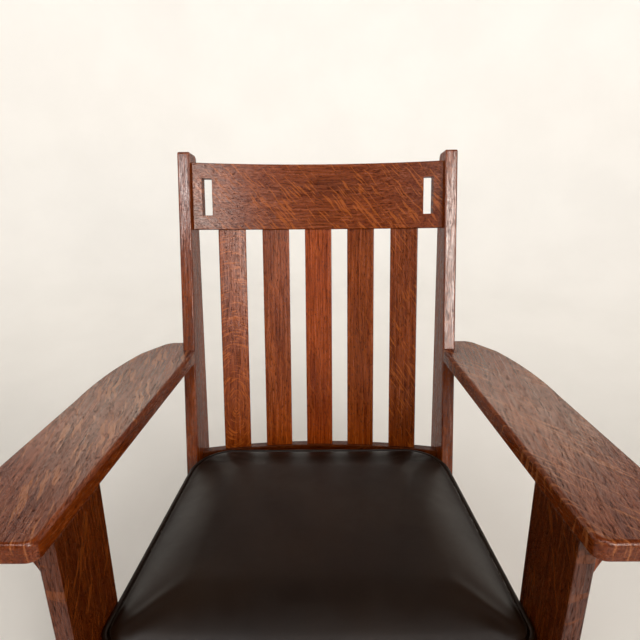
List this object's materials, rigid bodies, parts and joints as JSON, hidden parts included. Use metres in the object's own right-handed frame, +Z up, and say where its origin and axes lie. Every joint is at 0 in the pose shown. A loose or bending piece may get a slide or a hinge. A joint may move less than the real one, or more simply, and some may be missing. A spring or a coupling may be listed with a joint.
{
  "type": "rocking chair",
  "caption": "Oak rocking chair with slab legs, paddle arms on corbels, a bent slotted crest rail over upright slats, and a drop-in leather seat that lifts out.",
  "frame": {"origin": "on the floor at the middle of the chair's bounding box, which is where the runners touch the floor, midway between them", "axes": "+Z up, -Y the way the sitter faces, +X to the viewer's right as the picture shows it (the sitter's left)"},
  "size_m": [0.7528, 0.7532, 0.8936],
  "materials": {
    "oak": "satin",
    "plain_wood": "matte",
    "leather": "satin",
    "welt": "satin",
    "steel": "satin",
    "webbing": "matte",
    "deck_cloth": "matte",
    "padding": "matte",
    "dust_cloth": "matte"
  },
  "bodies": {
    "chair": {"arm_corbel_left": "oak", "arm_corbel_right": "oak", "arm_left": "oak", "arm_right": "oak", "back_post_left": "oak", "back_post_right": "oak", "back_slat_1": "oak", "back_slat_2": "oak", "back_slat_3": "oak", "back_slat_4": "oak", "back_slat_5": "oak", "cleat_screws": "steel", "corner_block_front_left": "plain_wood", "corner_block_front_right": "plain_wood", "corner_block_rear_left": "plain_wood", "corner_block_rear_right": "plain_wood", "corner_block_screws": "steel", "crest_rail": "oak", "front_leg_left": "oak", "front_leg_right": "oak", "front_seat_rail": "oak", "lower_back_rail": "oak", "middle_stretcher": "oak", "rear_seat_rail": "oak", "rocker_left": "oak", "rocker_pins": "oak", "rocker_right": "oak", "seat_cleat_front": "plain_wood", "seat_cleat_left": "plain_wood", "seat_cleat_rear": "plain_wood", "seat_cleat_right": "plain_wood", "side_seat_rail_left": "oak", "side_seat_rail_right": "oak", "side_stretcher_left": "oak", "side_stretcher_right": "oak"},
    "seat": {"seat_deck": "deck_cloth", "seat_dust_cover": "dust_cloth", "seat_frame_dowels": "plain_wood", "seat_frame_front": "plain_wood", "seat_frame_left": "plain_wood", "seat_frame_rear": "plain_wood", "seat_frame_right": "plain_wood", "seat_leather": "leather", "seat_pad": "padding", "seat_welt": "welt", "webbing_across": "webbing", "webbing_along": "webbing"}
  },
  "joints": [
    {"name": "seat_lift", "type": "slide", "parent": "chair", "child": "seat", "axis": [0, 0.0993, 0.9951], "range_m": [0, 0.15]}
  ]
}
